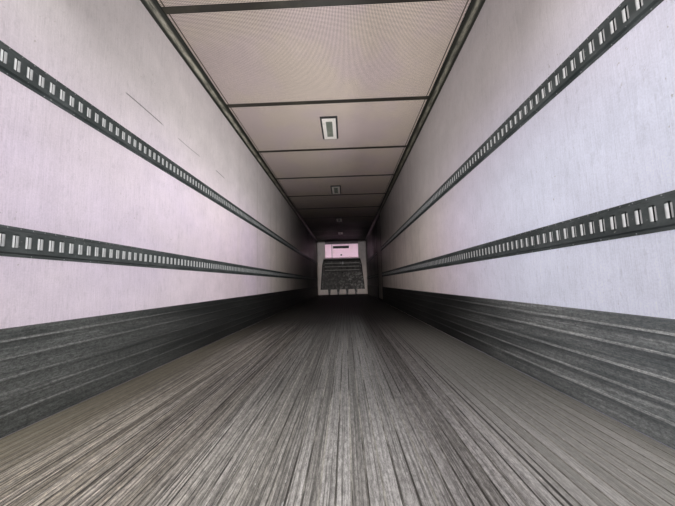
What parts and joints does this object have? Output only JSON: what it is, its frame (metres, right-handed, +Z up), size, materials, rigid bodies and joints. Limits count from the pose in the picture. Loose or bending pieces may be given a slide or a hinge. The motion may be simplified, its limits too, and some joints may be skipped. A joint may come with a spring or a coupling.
{
  "type": "refrigerated semi-trailer box body",
  "caption": "Long insulated cargo body with ribbed floor, slotted wall rails, return air bulkhead, cooling unit and hinged doors.",
  "frame": {"origin": "centreline of the body, underside of the floor crossmembers, halfway along the body without its cooling unit", "axes": "+Y along the body to the front wall, +X to the kerb side with the side door, +Z up"},
  "size_m": [2.886, 16.833, 2.971],
  "materials": {
    "galvanised_steel": "dull zinc",
    "sub_pan": "dark composite",
    "floor_aluminium": "worn bare aluminium",
    "rail_aluminium": "satin extrusion",
    "white_sheet": "semi-gloss white",
    "scuff_aluminium": "scuffed dark grey",
    "rail_steel": "dull dark grey",
    "cove_trim": "satin olive grey",
    "ceiling_liner": "dimpled liner",
    "joint_strip": "satin dark strip",
    "lamp_tray": "satin white",
    "lamp_lens": "frosted lens",
    "white_moulding": "satin moulding",
    "grey_moulding": "dark moulded plastic",
    "unit_white": "smooth moulded skin",
    "unit_dark": "black louvres",
    "engine_grey": "painted casting",
    "frame_steel": "galvanised frame",
    "black_rubber": "matt rubber",
    "red_lens": "red lens"
  },
  "bodies": {
    "box_body": {"crossmembers": "galvanised_steel", "coupler_plate": "galvanised_steel", "subfloor_panel": "sub_pan", "t_floor": "floor_aluminium", "bottom_rails": "rail_aluminium", "wall_left": "white_sheet", "wall_right_rear": "white_sheet", "wall_right_front": "white_sheet", "scuff_liners": "scuff_aluminium", "cargo_rails": "rail_steel", "coves": "cove_trim", "roof_panel": "ceiling_liner", "ceiling_joints": "joint_strip", "lamp_housings": "lamp_tray", "lamp_lenses": "lamp_lens", "top_rails": "rail_aluminium", "front_wall": "white_sheet", "evaporator_cover": "white_moulding", "air_bulkhead": "grey_moulding", "unit_housing": "unit_white", "unit_grille": "unit_dark", "unit_engine": "engine_grey", "rear_posts": "frame_steel", "rear_header": "frame_steel", "rear_sill": "frame_steel", "dock_bumpers": "black_rubber", "rear_lamps": "red_lens", "side_door_frame": "frame_steel"},
    "rear_door_right": {"rear_door_right_panel": "white_sheet", "rear_door_right_seal": "black_rubber", "rear_door_right_hardware": "galvanised_steel"},
    "rear_door_left": {"rear_door_left_panel": "white_sheet", "rear_door_left_seal": "black_rubber", "rear_door_left_hardware": "galvanised_steel"},
    "side_door": {"side_door_panel": "white_sheet", "side_door_seal": "black_rubber", "side_door_hardware": "galvanised_steel"},
    "unit_door_right": {"unit_door_right": "unit_white"},
    "unit_door_left": {"unit_door_left": "unit_white"}
  },
  "joints": [
    {"name": "rear_door_right_hinge", "type": "hinge", "parent": "box_body", "child": "rear_door_right", "pos_m": [1.298, -8.147, 1.522], "axis": [0, 0, -1], "range_deg": [0, 270]},
    {"name": "rear_door_left_hinge", "type": "hinge", "parent": "box_body", "child": "rear_door_left", "pos_m": [-1.298, -8.147, 1.522], "axis": [0, 0, 1], "range_deg": [0, 270]},
    {"name": "side_door_hinge", "type": "hinge", "parent": "box_body", "child": "side_door", "pos_m": [1.324, 3.171, 1.502], "axis": [0, 0, 1], "range_deg": [0, 180]},
    {"name": "unit_door_right_hinge", "type": "hinge", "parent": "box_body", "child": "unit_door_right", "pos_m": [0.859, 8.657, 1.3], "axis": [0, 0, -1], "range_deg": [0, 110]},
    {"name": "unit_door_left_hinge", "type": "hinge", "parent": "box_body", "child": "unit_door_left", "pos_m": [-0.859, 8.657, 1.3], "axis": [0, 0, 1], "range_deg": [0, 110]}
  ]
}
